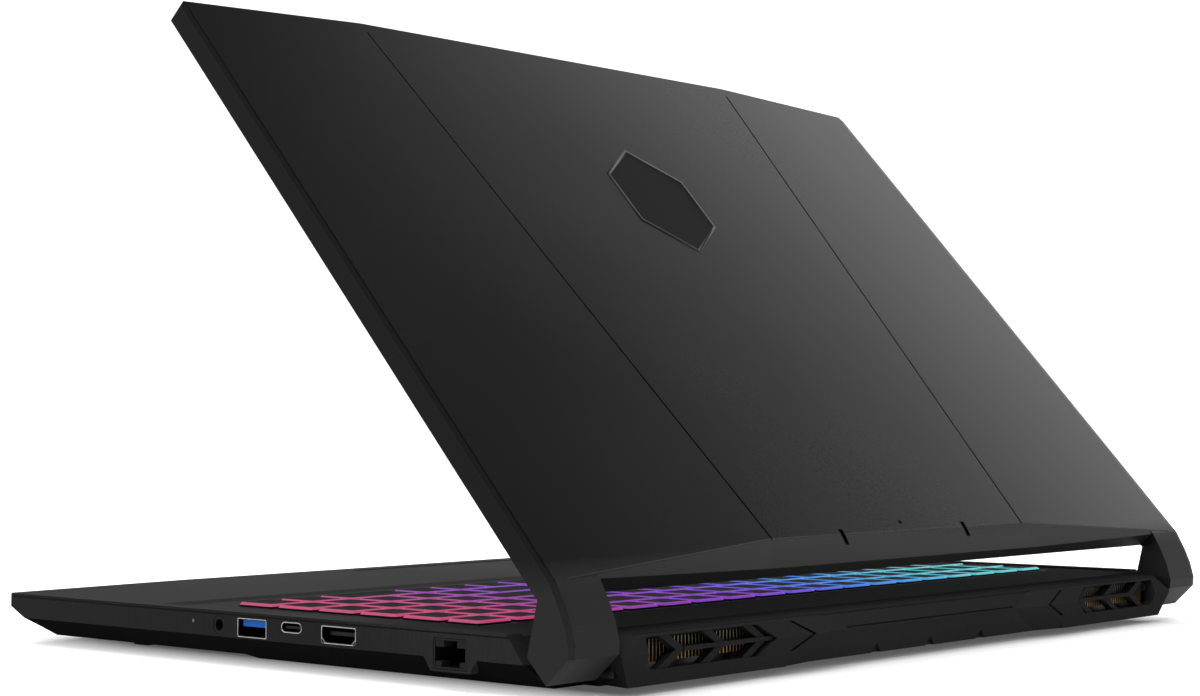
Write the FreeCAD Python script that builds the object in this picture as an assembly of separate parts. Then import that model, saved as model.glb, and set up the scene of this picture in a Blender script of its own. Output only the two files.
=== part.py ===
import FreeCAD, Part
import math
import os

# Laptop computer, lid leaning over the keyboard. Millimetres.
# X runs to the user's right, Y to the rear, Z up from the desk.
# The origin is the middle of the footprint, on the desk.

V = FreeCAD.Vector

# Whole machine
WIDTH = 359.0
DEPTH = 259.0
DECK_Z = 17.4
FOOT_HEIGHT = 3.2
LID_GAP = 0.9
LID_THICKNESS = 6.9
LID_OPEN_DEG = 48.1
CORNER_SETBACK = 5.4
FRONT_STRAIGHT = 201.0
SIDE_OVERHANG = 1.3
FRONT_OVERHANG = 1.4

# Hinge axis and the arms that carry the lid
HINGE_FROM_REAR = 5.9
HINGE_Z = 13.0
ARM_WIDTH = 19.0
ARM_BACK = 4.4
ARM_DROP = 7.7
ARM_TOE = 5.4
LID_EDGE = 15.3
BEVEL_RUN = 2.4
BEVEL_FALL = 0.5
PIN_RADIUS = 1.75

# Walls and clearances
WALL = 1.6
DECK_THICKNESS = 1.6
RUNNING_FIT = 0.05
SEAT_FIT = 0.02
SIDE_GAP = 0.8
SWING_GAP = 1.9
PANEL_FIT = 0.15
KEY_FIT = 0.4

# Base shape
SPLIT_Z = 9.6
LIP_HEIGHT = 3.1
SLOPE_RUN = 15.5
SLOPE_DROP = 7.3
TOE_RUN = 21.0
SIDE_RUN = 6.5
BELLY_STEP = 1.0
BELLY_END = 124.0
BLOCK_DEPTH = 17.5
NOTCH_LEAN_DEG = 39.0
PAN_DEPTH = 0.7
PAN_FRONT = 80.5
PAN_RIM = 6.0

# Keyboard
KEY_SIDE = 19.52
UNIT_Y = 18.4
FUNCTION_ROW = 15.6
KEY_GAP = 2.4
KEY_FRONT = 99.6
KEY_RISE = 1.3
KEY_HEIGHT = 2.3
KEY_TRAVEL = 1.4
MAIN_UNITS = 15
PAD_UNITS = 4
FLANGE = 3.2

# Touchpad
PAD_WIDTH = 105.0
PAD_LENGTH = 64.0
PAD_FROM_FRONT = 10.0
PAD_SHIFT = -27.0
PAD_SINK = 0.2
PAD_CLICK = 0.4

# Display
SCREEN_SIDE = 7.4
SCREEN_TOP = 11.0
SCREEN_CHIN = 54.4
BEZEL_THICKNESS = 1.2
PANEL_THICKNESS = 2.6

# Sockets: opening sizes and the sheet of their shells
SHELL = 0.3
USB_A = (12.5, 5.12)
USB_C = (8.34, 2.56)
HDMI = (14.0, 4.55)
NETWORK = (11.7, 7.4)
NETWORK_WALL = 0.5
AUDIO_RADIUS = 1.8
AUDIO_DEPTH = 12.0

# Exhaust windows in the rear block
WINDOW_SIDE = 11.7
WINDOW_WIDTH = 59.0
WINDOW_LOW = 6.7
WINDOW_HIGH = 15.9
BLOCK_LOW = 2.4
RIDGE_Z = 11.3
RIB_PITCH = 19.2
RIB_WIDTH = 4.2
WAIST_STEP = 21.0
WAIST_RUN = 18.5
WAIST_DEPTH = 2.4
FIN_PITCH = 1.5
FIN_SHEET = 0.3

HALF = WIDTH / 2
ACTIVE_WIDTH = WIDTH - 2 * SCREEN_SIDE
ACTIVE_HEIGHT = DEPTH - SCREEN_TOP - SCREEN_CHIN
LID_HALF = HALF + SIDE_OVERHANG
FRONT = -DEPTH / 2
REAR = DEPTH / 2
HINGE_Y = REAR - HINGE_FROM_REAR
CASE_REAR = REAR - BLOCK_DEPTH
PLATE_UNDER = DECK_Z - DECK_THICKNESS
PAN_Z = DECK_Z - PAN_DEPTH
LID_IN = DECK_Z + LID_GAP
LID_OUT = LID_IN + LID_THICKNESS
ARM_IN = HALF - ARM_WIDTH
BLOCK_HALF = ARM_IN - SIDE_GAP
WINDOW_OUT = BLOCK_HALF - WINDOW_SIDE
WINDOW_IN = WINDOW_OUT - WINDOW_WIDTH
WAIST_TIP = WINDOW_IN - WAIST_STEP
WAIST_FLAT = WAIST_TIP - WAIST_RUN
FLOOR = FOOT_HEIGHT + WALL
KEY_HALF = HALF - KEY_SIDE
UNIT_X = 2 * KEY_HALF / (MAIN_UNITS + PAD_UNITS)
KEY_REAR = FRONT + KEY_FRONT + 5 * UNIT_Y + FUNCTION_ROW - KEY_GAP
KEY_TOP = PAN_Z + KEY_RISE
KEY_LOW = KEY_TOP - KEY_HEIGHT
PLATE_TOP = KEY_LOW - KEY_TRAVEL - 0.2
PLATE_SHEET = 0.8
BOARD_Z = 10.6
BOARD_SHEET = 1.2
FAN_REACH = 34.0
FAN_SIDE = 64.5
FAN_REAR = 37.5
FAN_X = HALF - FAN_SIDE
FAN_Y = CASE_REAR - FAN_REAR
BOARD_SIDE = 5.0
BOARD_REAR = 29.5
BOARD_LENGTH = 108.0
BOARD_HALF = FAN_X - FAN_REACH - BOARD_SIDE
BOARD_BACK = CASE_REAR - BOARD_REAR
BOARD_FRONT = BOARD_BACK - BOARD_LENGTH
SPEAKER_SIDE = 15.5
SPEAKER_WIDTH = 48.0
SPEAKER_OUT = HALF - SPEAKER_SIDE
SPEAKER_IN = SPEAKER_OUT - SPEAKER_WIDTH
BATTERY_FRONT = 36.0
BATTERY_GAP = 10.0
BATTERY_SIDE = 12.0
PLATE_FRONT = 68.5
PLATE_BACK = 32.5
CHIP_BACK = 37.5
PIPE_LOW = FLOOR + 0.9
PIPE_HIGH = PIPE_LOW + 2.5


def face(points):
    corners = [V(*p) for p in points]
    return Part.Face(Part.makePolygon(corners + corners[:1]))


def prism_x(outline, x0, x1):
    """Solid with a (y, z) outline, from x0 to x1."""
    return face([(x0, y, z) for y, z in outline]).extrude(V(x1 - x0, 0, 0))


def prism_y(outline, y0, y1):
    """Solid with an (x, z) outline, from y0 to y1."""
    return face([(x, y0, z) for x, z in outline]).extrude(V(0, y1 - y0, 0))


def prism_z(outline, z0, z1):
    """Solid with an (x, y) outline, from z0 to z1."""
    return face([(x, y, z0) for x, y in outline]).extrude(V(0, 0, z1 - z0))


def box(x0, x1, y0, y1, z0, z1):
    return Part.makeBox(x1 - x0, y1 - y0, z1 - z0, V(x0, y0, z0))


def rod_x(x0, x1, y, z, r):
    return Part.makeCylinder(r, x1 - x0, V(x0, y, z), V(1, 0, 0))


def rod_z(x, y, z0, z1, r):
    return Part.makeCylinder(r, z1 - z0, V(x, y, z0), V(0, 0, 1))


def join(shapes):
    return shapes[0].multiFuse(shapes[1:]).removeSplitter()


def mirrored(shape):
    return shape.mirror(V(0, 0, 0), V(1, 0, 0))


def pair(shape):
    return [shape, mirrored(shape)]


def group(shapes):
    return Part.makeCompound(shapes)


def half_space(point, normal):
    """Large block whose lower face lies on the plane through the point."""
    block = Part.makeBox(900, 900, 200, V(-450, -450, 0))
    block.Placement = FreeCAD.Placement(point, FreeCAD.Rotation(V(0, 0, 1), normal))
    return block


def raised(shape):
    """Turn a piece drawn with the lid closed into the rest pose."""
    turned = shape.copy()
    turned.rotate(V(0, HINGE_Y, HINGE_Z), V(-1, 0, 0), LID_OPEN_DEG)
    return turned


def lid_point(s, w):
    """(y, z) of a point s along the closed lid from the hinge axis and w above it."""
    return (HINGE_Y - s, HINGE_Z + w)


def front_outline(inset, rear, cut, side_over=0.0, front_over=0.0):
    """Plan of base or lid: angled front corners with a small cut, straight rear."""
    side = HALF + side_over - inset
    middle = FRONT_STRAIGHT / 2
    front = FRONT - front_over + inset
    corner = front + CORNER_SETBACK
    lean = CORNER_SETBACK / (HALF - middle)
    right = [(middle, front), (side - cut, corner - cut * lean), (side, corner + cut), (side, rear)]
    return right + [(-x, y) for x, y in reversed(right)]


def lid_outline(inset, rear, cut):
    return front_outline(inset, rear, cut, SIDE_OVERHANG, FRONT_OVERHANG)


def front_edges(over=0.0):
    middle = FRONT_STRAIGHT / 2
    front = FRONT - over
    corner = front + CORNER_SETBACK
    bends = [(-HALF, corner), (-middle, front), (middle, front), (HALF, corner)]
    return list(zip(bends, bends[1:]))


def along_edge(edge, profile):
    """Carry a (distance inwards, z) profile along one front edge, past both ends."""
    (ax, ay), (bx, by) = edge
    length = math.hypot(bx - ax, by - ay)
    tx = (bx - ax) / length
    ty = (by - ay) / length
    over = 60.0
    start = [(ax - tx * over - ty * d, ay - ty * over + tx * d, z) for d, z in profile]
    return face(start).extrude(V(tx, ty, 0) * (length + 2 * over))


def notch_plane(inset):
    """Tool that clears the rear corners for the swing of the lid arms."""
    sweep = math.hypot(ARM_TOE, ARM_DROP) + SWING_GAP + inset
    lean = math.radians(NOTCH_LEAN_DEG)
    ny = math.cos(lean)
    nz = math.sin(lean)
    foot = (HINGE_Y - sweep * ny, HINGE_Z - sweep * nz)
    far = 60.0
    outline = [(foot[0] - nz * far, foot[1] + ny * far), (foot[0] + nz * far, foot[1] - ny * far),
               (foot[0] + nz * far + ny * far, foot[1] - ny * far + nz * far),
               (foot[0] - nz * far + ny * far, foot[1] + ny * far + nz * far)]
    return prism_x(outline, BLOCK_HALF + 0.3 - inset, HALF + 5)


def base_body(inset, top, bottom):
    """The base as one closed form, every face moved inwards by inset."""
    reach = CASE_REAR - inset if inset else HINGE_Y - 4.0
    form = prism_z(front_outline(inset, reach, 2.5), bottom, top)
    if not inset:
        form = form.cut(box(-BLOCK_HALF - 0.3, BLOCK_HALF + 0.3, CASE_REAR, REAR, 0, DECK_Z + 1))
    lip = DECK_Z - LIP_HEIGHT
    slope = [(-5, lip + inset), (inset, lip + inset), (SLOPE_RUN + inset, lip - SLOPE_DROP + inset),
             (TOE_RUN + inset, FOOT_HEIGHT + BELLY_STEP + inset), (TOE_RUN + inset, -5), (-5, -5)]
    tools = [along_edge(edge, slope) for edge in front_edges()]
    flank = [(HALF + 5, SPLIT_Z), (HALF - inset, SPLIT_Z), (HALF - SIDE_RUN - inset, FOOT_HEIGHT),
             (HALF - SIDE_RUN - inset, -5), (HALF + 5, -5)]
    tools += pair(prism_y(flank, FRONT - 5, REAR + 5))
    step = FRONT + BELLY_END + inset / 2
    belly = [(FRONT - 5, -5), (FRONT + BELLY_END + 2.5, -5), (step + 2.5, FOOT_HEIGHT + inset),
             (step - 2.5, FOOT_HEIGHT + BELLY_STEP + inset),
             (FRONT - 5, FOOT_HEIGHT + BELLY_STEP + inset)]
    tools.append(prism_x(belly, -HALF - 5, HALF + 5))
    tools += pair(notch_plane(inset))
    return form.cut(tools)


# Sockets: each is (distance of the centre from the rear end, centre z) in a side wall
USB_A_RIGHT = (128.4, 12.9)
USB_C_RIGHT = (110.7, 14.15)
HDMI_RIGHT = (90.4, 13.05)
NETWORK_RIGHT = (45.3, 10.75)
AUDIO_RIGHT = (143.5, 13.1)
LIGHT_RIGHT = (155.9, 13.7)
POWER_LEFT = (55.0, 11.6)
USB_A_LEFT = (83.0, 12.9)
USB_A_PITCH = 20.0
LOCK_LEFT = (37.0, 12.2)
SHELL_DEPTH = 13.0


def socket_outline(place, size, cut=0.0, grow=0.0):
    """(y, z) outline of a socket; the lower corners can be cut off."""
    y = REAR - place[0]
    z = place[1]
    a = size[0] / 2 + grow
    b = size[1] / 2 + grow
    if not cut:
        return [(y - a, z - b), (y + a, z - b), (y + a, z + b), (y - a, z + b)]
    return [(y - a + cut, z - b), (y + a - cut, z - b), (y + a, z - b + cut), (y + a, z + b),
            (y - a, z + b), (y - a, z - b + cut)]


def slot_form(place, size, grow, x0, x1):
    """Flat-sided form with round ends."""
    y = REAR - place[0]
    b = size[1] / 2 + grow
    a = size[0] / 2 + grow - b
    ends = [rod_x(x0, x1, y + side * a, place[1], b) for side in (-1, 1)]
    return join([box(x0, x1, y - a, y + a, place[1] - b, place[1] + b)] + ends)


def wall_openings():
    """What the side walls leave open for sockets, light and lock."""
    x0 = HALF - SIDE_RUN
    x1 = HALF + 2.0
    grow = SHELL + PANEL_FIT
    tools = [prism_x(socket_outline(USB_A_RIGHT, USB_A, 0, grow), x0, x1),
             prism_x(socket_outline(HDMI_RIGHT, HDMI, 1.6, grow), x0, x1),
             prism_x(socket_outline(NETWORK_RIGHT, NETWORK, 0, NETWORK_WALL + PANEL_FIT), x0, x1),
             slot_form(USB_C_RIGHT, USB_C, grow, x0, x1),
             rod_x(x0, x1, REAR - AUDIO_RIGHT[0], AUDIO_RIGHT[1], AUDIO_RADIUS + 0.9 + PANEL_FIT),
             rod_x(x0, x1, REAR - LIGHT_RIGHT[0], LIGHT_RIGHT[1], 0.6 + PANEL_FIT)]
    left = [prism_x(socket_outline((y, z), USB_A, 0, grow), x0, x1) for y, z in left_usb_places()]
    left.append(rod_x(x0, x1, REAR - POWER_LEFT[0], POWER_LEFT[1], 3.4 + PANEL_FIT))
    left.append(slot_form(LOCK_LEFT, (7.0, 3.0), 0, x0, x1))
    return tools + [mirrored(tool) for tool in left]


def left_usb_places():
    return [(USB_A_LEFT[0] + i * USB_A_PITCH, USB_A_LEFT[1]) for i in range(2)]


def screw_places():
    """Cover screws, (x, y)."""
    side = HALF - 29.5
    front = [(x, FRONT + 27.0) for x in (-side, -100, 60, side)]
    edge = HALF - 12.5
    middle = [(x, REAR - LIGHT_RIGHT[0] - SCREW_AHEAD) for x in (-edge, edge)]
    inner = BOARD_HALF - 8.0
    rear = [(x, BOARD_BACK + 5.0) for x in (-inner, 0, inner)]
    return front + middle + rear


SCREW_AHEAD = 15.1
SCREW_RADIUS = 1.0
HEAD_RADIUS = 2.2
BOSS_RADIUS = 3.2


def belly_z(y):
    return FOOT_HEIGHT + (BELLY_STEP if y < FRONT + BELLY_END else 0)


def key_rows():
    """Rows from the front: widths in units for the main block and the number pad."""
    return [([1.25, 1, 1.25, 1.25, 5, 1.25, 1, 1, 1, 1], [2, 1, 1]),
            ([2.25] + [1] * 10 + [1.75, 1], [1] * 4),
            ([1.75] + [1] * 11 + [2.25], [1] * 4),
            ([1.5] + [1] * 12 + [1.5], [1] * 4),
            ([1] * 13 + [2], [1] * 4),
            ([1] * 15, [1] * 4)]


def key_places():
    """Each key as (row, column, x0, x1, y0, y1); columns run on into the number pad."""
    places = []
    y = FRONT + KEY_FRONT
    for row, (main, pad) in enumerate(key_rows()):
        deep = UNIT_Y if row < 5 else FUNCTION_ROW
        x = -KEY_HALF
        for column, units in enumerate(main + pad):
            x0 = x + KEY_GAP / 2
            x1 = x + units * UNIT_X - KEY_GAP / 2
            column_id = column if column < len(main) else 100 + column - len(main)
            places.append((row, column_id, x0, x1, y, y + deep - KEY_GAP))
            x += units * UNIT_X
        y += deep
    return places


def key_group(row, column):
    if row == 5 and column == 103:
        return "power_key"
    if row == 5:
        return "function_keys"
    if column >= 100:
        return "number_pad_keys"
    if (row == 0 and column >= 7) or (row == 1 and column == 12):
        return "arrow_keys"
    if row == 0:
        return "space_bar" if column == 4 else "modifier_keys"
    if row == 2 and column == 12:
        return "enter_key"
    return ["", "lower_letter_keys", "home_letter_keys", "upper_letter_keys", "number_keys"][row]


def keycap(x0, x1, y0, y1):
    """Cap with leaning sides and a slightly smaller top."""
    lean = 0.35
    low = [V(x0, y0, KEY_LOW), V(x1, y0, KEY_LOW), V(x1, y1, KEY_LOW), V(x0, y1, KEY_LOW)]
    shoulder = KEY_TOP - 0.5
    skirt = box(x0, x1, y0, y1, KEY_LOW, shoulder)
    wires = []
    for z, shrink in ((shoulder, 0.0), (KEY_TOP, lean)):
        corners = []
        for p in low:
            dx = shrink if p.x == x0 else -shrink
            dy = shrink if p.y == y0 else -shrink
            corners.append(V(p.x + dx, p.y + dy, z))
        wires.append(Part.makePolygon(corners + corners[:1]))
    return join([skirt, Part.makeLoft(wires, True, True)])


def keyboard_opening(grow, z0, z1):
    side = KEY_HALF + 1.0 + grow
    return box(-side, side, FRONT + KEY_FRONT - 2.2 - grow, KEY_REAR + 2.2 + grow, z0, z1)


def touchpad_box(grow, z0, z1):
    y = FRONT + PAD_FROM_FRONT
    side = PAD_WIDTH / 2 + grow
    return box(PAD_SHIFT - side, PAD_SHIFT + side, y - grow, y + PAD_LENGTH + grow, z0, z1)


def duct_window():
    """Opening in the rear wall of the case towards the exhaust."""
    side = WINDOW_OUT + 2.0
    return box(-side, side, CASE_REAR - 4, CASE_REAR + 1, FLOOR + 0.8, PLATE_UNDER - 1.2)


def case_shell():
    return base_body(0, DECK_Z, FOOT_HEIGHT).cut(base_body(WALL, PLATE_UNDER, FLOOR))


def tab_form(grow):
    """Upright tab of the side wall round the network socket."""
    mid = REAR - NETWORK_RIGHT[0]
    low = NETWORK_RIGHT[1] - NETWORK[1] / 2 - 1.3 - grow
    wide = NETWORK[0] / 2 + 1.7 + grow
    outline = [(mid - wide - 3.0, SPLIT_Z + 0.5), (mid - wide, low), (mid + wide, low),
               (mid + wide + 3.0, SPLIT_Z + 0.5)]
    return prism_x(outline, HALF - 2 * WALL - grow, HALF + grow)


def make_top_case(shell):
    top = shell.common(box(-HALF, HALF, FRONT, REAR, SPLIT_Z, DECK_Z))
    tab = tab_form(0)
    top = join([top, tab])
    bosses = [rod_z(x, y, SPLIT_Z, PLATE_UNDER + 0.3, BOSS_RADIUS) for x, y in screw_places()]
    top = join([top] + bosses)
    ramp = PAN_FRONT + 4.0
    pan = [(FRONT + PAN_FRONT, DECK_Z), (FRONT + ramp, PAN_Z), (REAR, PAN_Z), (REAR, DECK_Z + 1),
           (FRONT + PAN_FRONT, DECK_Z + 1)]
    groove_y = [(HALF - 0.45, DECK_Z - 1.1), (HALF + 1, DECK_Z - 1.1), (HALF + 1, DECK_Z - 0.7),
                (HALF - 0.45, DECK_Z - 0.7)]
    tools = [prism_x(pan, -HALF + PAN_RIM, HALF - PAN_RIM), keyboard_opening(0, SPLIT_Z, DECK_Z + 1),
             touchpad_box(KEY_FIT, SPLIT_Z, DECK_Z + 1), duct_window()]
    tools += pair(prism_y(groove_y, FRONT + CORNER_SETBACK + 4, HINGE_Y))
    tools += [rod_z(x, y, SPLIT_Z - 1, PLATE_UNDER - 1.0, SCREW_RADIUS) for x, y in screw_places()]
    edge = [(-1, DECK_Z + 1), (-1, DECK_Z - 0.5), (0, DECK_Z - 0.5), (0.5, DECK_Z), (0.5, DECK_Z + 1)]
    tools += [along_edge(line, edge) for line in front_edges()]
    rim = [(HALF + 1, DECK_Z - 0.4), (HALF, DECK_Z - 0.4), (HALF - 0.4, DECK_Z), (HALF - 0.4, DECK_Z + 1),
           (HALF + 1, DECK_Z + 1)]
    tools += pair(prism_y(rim, FRONT, REAR))
    return top.cut(tools + wall_openings())


def make_bottom_cover(shell):
    cover = shell.common(box(-HALF, HALF, FRONT, REAR, 0, SPLIT_Z)).cut(tab_form(0.1))
    bosses = [rod_z(x, y, belly_z(y) + 0.5, SPLIT_Z, BOSS_RADIUS) for x, y in screw_places()]
    cover = join([cover] + bosses)
    tools = [duct_window()]
    for x, y in screw_places():
        tools.append(rod_z(x, y, belly_z(y) - 1, belly_z(y) + 1.9, HEAD_RADIUS + PANEL_FIT))
        tools.append(rod_z(x, y, 0, SPLIT_Z + 1, SCREW_RADIUS + 0.1))
    slot = 2.4
    for row in range(4):
        for column in range(12):
            x = FAN_X - 33.0 + column * 6.0
            y = FAN_Y - 25.0 + row * 11.0 + (5.5 if column % 2 else 0)
            tools += pair(box(x - slot / 2, x + slot / 2, y - 4.0, y + 4.0, 0, FLOOR + 0.5))
    for column in range(9):
        x = SPEAKER_IN + 12.0 + column * 3.6
        tools += pair(box(x - 0.7, x + 0.7, FRONT + 52.0, FRONT + 60.0, 0, FLOOR + 3))
    return cover.cut(tools + wall_openings())


def block_profile(back):
    return [(CASE_REAR, FOOT_HEIGHT), (back - 2.2, BLOCK_LOW), (back, RIDGE_Z), (back - 1.6, DECK_Z - 1.1),
            (CASE_REAR + 2.4, DECK_Z), (CASE_REAR + 2.4, DECK_Z - 2.2), (CASE_REAR, DECK_Z - 2.2)]


def chevron(tip, width, rise, run, y0, y1):
    """Bent bar with its point towards the middle of the machine."""
    mid = RIDGE_Z + 0.2
    outline = [(tip, mid), (tip + run, mid + rise), (tip + run + width, mid + rise), (tip + width, mid),
               (tip + run + width, mid - rise), (tip + run, mid - rise)]
    return prism_y(outline, y0, y1)


def facing_plane(a, b, c):
    """Half space beyond the plane through three points, on the rear side."""
    normal = (b - a).cross(c - a)
    if normal.y < 0:
        normal = normal * -1
    return half_space(a, normal)


def waist_tools():
    """Space in front of the hollowed middle of the rear block, with a pointed end on each side."""
    flat = REAR - WAIST_DEPTH
    tip = V(WAIST_TIP, REAR, RIDGE_Z)
    ridge = V(WAIST_FLAT, flat, RIDGE_Z)
    upper = facing_plane(tip, ridge, V(WAIST_TIP + 12.0, REAR - 1.6, DECK_Z - 1.1))
    lower = facing_plane(tip, ridge, V(WAIST_TIP + 12.0, REAR - 1.5, RIDGE_Z - 6.0))
    room = [(flat - 2.2, 0), (flat - 2.2, BLOCK_LOW), (flat, RIDGE_Z), (flat - 1.6, DECK_Z - 1.1),
            (flat - 1.6, 30), (REAR + 5, 30), (REAR + 5, 0)]
    right = prism_x(room, 0, WAIST_TIP + 14.0)
    return pair(right.common(upper)) + pair(right.common(lower))


def make_rear_block():
    back = REAR
    block = prism_x(block_profile(back), -BLOCK_HALF, BLOCK_HALF)
    corner = [(BLOCK_HALF + 1, 0), (BLOCK_HALF - 5.1, 0), (BLOCK_HALF - 5.1, BLOCK_LOW),
              (BLOCK_HALF, RIDGE_Z), (BLOCK_HALF + 1, RIDGE_Z)]
    cheek = facing_plane(V(WINDOW_OUT + 0.7, back - 1.6, DECK_Z - 1.1), V(BLOCK_HALF, back, RIDGE_Z),
                         V(BLOCK_HALF, back - 6.0, DECK_Z - 1.1))
    cavity = box(-BLOCK_HALF + 1.8, BLOCK_HALF - 1.8, CASE_REAR - 1, back - 4.4, FLOOR + 0.4, DECK_Z - 2.4)
    tools = pair(prism_y(corner, CASE_REAR - 1, back + 1)) + pair(cheek) + waist_tools()
    tools.append(cavity)
    window = [(WINDOW_OUT, WINDOW_LOW + 1.6), (WINDOW_OUT - 2.2, WINDOW_LOW), (WINDOW_IN + 8.0, WINDOW_LOW),
              (WINDOW_IN, RIDGE_Z + 0.2), (WINDOW_IN + 8.0, WINDOW_HIGH), (WINDOW_OUT, WINDOW_HIGH)]
    tools += pair(prism_y(window, back - 5, back + 1))
    tools += pair(chevron(WAIST_TIP + 1.0, 2.0, 4.4, 10.5, back - 2.2, back + 1))
    tools += pair(rod_x(ARM_IN - 12.0, BLOCK_HALF + 1, HINGE_Y, HINGE_Z, PIN_RADIUS + 0.3))
    tools += pair(rod_x(BLOCK_HALF - 12.0, BLOCK_HALF - 1.8, HINGE_Y, HINGE_Z, PIN_RADIUS + 1.05))
    for i in (-1, 0, 1):
        x = i * 31.0
        low = BLOCK_LOW + 0.8
        tip = [(x - 2.4, 0), (x - 2.4, low), (x, low + 2.4), (x + 2.4, low), (x + 2.4, 0)]
        tools.append(prism_y(tip, back - 5.5, back + 1))
    flat = back - WAIST_DEPTH
    tools.append(box(-WAIST_FLAT, WAIST_FLAT, flat - 0.8, back, RIDGE_Z + 0.3, RIDGE_Z + 0.8))
    side = WINDOW_OUT + 2.0
    tools.append(box(-side, side, back - 4.6, back - 3.8, DECK_Z - 1.4, DECK_Z + 1))
    block = block.cut(tools)
    ribs = []
    rise = (WINDOW_HIGH - WINDOW_LOW) / 2 + 0.6
    for i in range(3):
        start = WINDOW_IN + 2.5 + i * RIB_PITCH
        ribs += pair(chevron(start, RIB_WIDTH, rise, rise * 1.7, back - 4.6, back - 1.9))
    end = WINDOW_IN + 3.5 + 2 * RIB_PITCH
    ribs += pair(box(WINDOW_IN - 2, end, back - 4.6, back - 1.3, RIDGE_Z - 0.4, RIDGE_Z + 0.8))
    frame = [(WINDOW_OUT + 3, WINDOW_LOW - 1.2), (WINDOW_IN - 3, WINDOW_LOW - 1.2),
             (WINDOW_IN - 3, WINDOW_HIGH + 0.3), (WINDOW_OUT + 3, WINDOW_HIGH + 0.3)]
    zone = pair(prism_y(frame, back - 5, back + 1))
    ribs = [rib.common(zone[i % 2]) for i, rib in enumerate(ribs)]
    return join([block] + ribs)


def make_fin_stack():
    """Row of thin fins between two sheets, behind one exhaust window."""
    y0 = CASE_REAR + 1.5
    y1 = REAR - 5.4
    x0 = WINDOW_IN + 1.0
    x1 = WINDOW_OUT - 1.0
    low = PIPE_HIGH + 0.05
    high = DECK_Z - 2.6
    stack = box(x0, x1, y0, y1, low, high)
    count = int((x1 - x0) / FIN_PITCH)
    gaps = []
    for i in range(count):
        left = x0 + i * FIN_PITCH
        right = left + FIN_PITCH
        gaps.append(box(left + FIN_SHEET, right, y0 - 1, y1 + 1, low + FIN_SHEET, high - FIN_SHEET))
    return stack.cut(gaps)


def make_fan_housing():
    low = FLOOR + 0.4
    high = PLATE_TOP - PLATE_SHEET - 0.6
    reach = FAN_REACH
    form = box(FAN_X - reach, FAN_X + reach, FAN_Y - reach, CASE_REAR - 2.0, low, high)
    reach = FAN_REACH - 1
    room = box(FAN_X - reach, FAN_X + reach, FAN_Y - reach, CASE_REAR, low + 0.8, high - 0.8)
    inlet = rod_z(FAN_X, FAN_Y, low - 1, low + 2, 23.0)
    post = rod_z(FAN_X, FAN_Y, low + 1.6, high - 0.4, 1.5)
    return join([form.cut([room, inlet]), post])


def make_fan_rotor():
    low = FLOOR + 1.9
    high = PLATE_TOP - PLATE_SHEET - 2.0
    hub = rod_z(FAN_X, FAN_Y, low, high, 11.0)
    ring = rod_z(FAN_X, FAN_Y, low + 1.6, low + 2.2, 25.0)
    blades = []
    count = 29
    for i in range(count):
        blade = Part.makeBox(18.5, 0.7, high - low, V(10.0, -0.35, low))
        blade.rotate(V(10.0, 0, 0), V(0, 0, 1), 24.0)
        blade.rotate(V(0, 0, 0), V(0, 0, 1), 360.0 * i / count)
        blade.translate(V(FAN_X, FAN_Y, 0))
        blades.append(blade)
    return join([hub, ring] + blades).cut(rod_z(FAN_X, FAN_Y, low - 1, high + 1, 1.5 + RUNNING_FIT))


def pipe_run(start_x, y_from, y_run, end_x, wide):
    """Flat heat pipe: rearwards from a cold plate, then sideways under the fins."""
    outline = [(start_x, y_from), (start_x + wide, y_from), (start_x + wide, y_run), (end_x, y_run),
               (end_x, y_run + wide), (start_x, y_run + wide)]
    return prism_z(outline, PIPE_LOW, PIPE_HIGH)


def make_socket_shell(outline_out, outline_in, tongue):
    """Folded sheet shell with a floor and a contact tongue, open to the right."""
    x1 = HALF - 0.1
    x0 = x1 - SHELL_DEPTH
    shell = prism_x(outline_out, x0, x1).cut(prism_x(outline_in, x0 + 0.6, x1 + 1))
    return join([shell, tongue])


def make_usb_a(place):
    y = REAR - place[0]
    x1 = HALF - 1.3
    tongue = box(HALF - SHELL_DEPTH, x1, y - 5.3, y + 5.3, place[1] + 0.35, place[1] + 2.2)
    return make_socket_shell(socket_outline(place, USB_A, 0, SHELL), socket_outline(place, USB_A), tongue)


def make_hdmi():
    y = REAR - HDMI_RIGHT[0]
    tongue = box(HALF - SHELL_DEPTH, HALF - 2.0, y - 5.6, y + 5.6, HDMI_RIGHT[1] - 0.2, HDMI_RIGHT[1] + 0.9)
    outer = socket_outline(HDMI_RIGHT, HDMI, 1.6, SHELL)
    return make_socket_shell(outer, socket_outline(HDMI_RIGHT, HDMI, 1.6), tongue)


def make_usb_c():
    x1 = HALF - 0.1
    x0 = x1 - 9.0
    y = REAR - USB_C_RIGHT[0]
    z = USB_C_RIGHT[1]
    room = slot_form(USB_C_RIGHT, USB_C, 0, x0 + 0.6, x1 + 1)
    shell = slot_form(USB_C_RIGHT, USB_C, SHELL, x0, x1).cut(room)
    return join([shell, box(x0, x1 - 0.8, y - 3.3, y + 3.3, z - 0.35, z + 0.35)])


def make_network():
    y = REAR - NETWORK_RIGHT[0]
    z = NETWORK_RIGHT[1]
    x1 = HALF - 0.1
    x0 = x1 - 15.0
    body = prism_x(socket_outline(NETWORK_RIGHT, NETWORK, 0, NETWORK_WALL), x0, x1)
    room = prism_x(socket_outline(NETWORK_RIGHT, NETWORK), x0 + 1.2, x1 + 1)
    rows = [y - 4.2 + i * 1.15 for i in range(8)]
    contacts = [box(x0 + 0.6, x0 + 7.0, row, row + 0.5, z + 3.0, z + 3.8) for row in rows]
    return join([body.cut(room)] + contacts)


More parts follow.
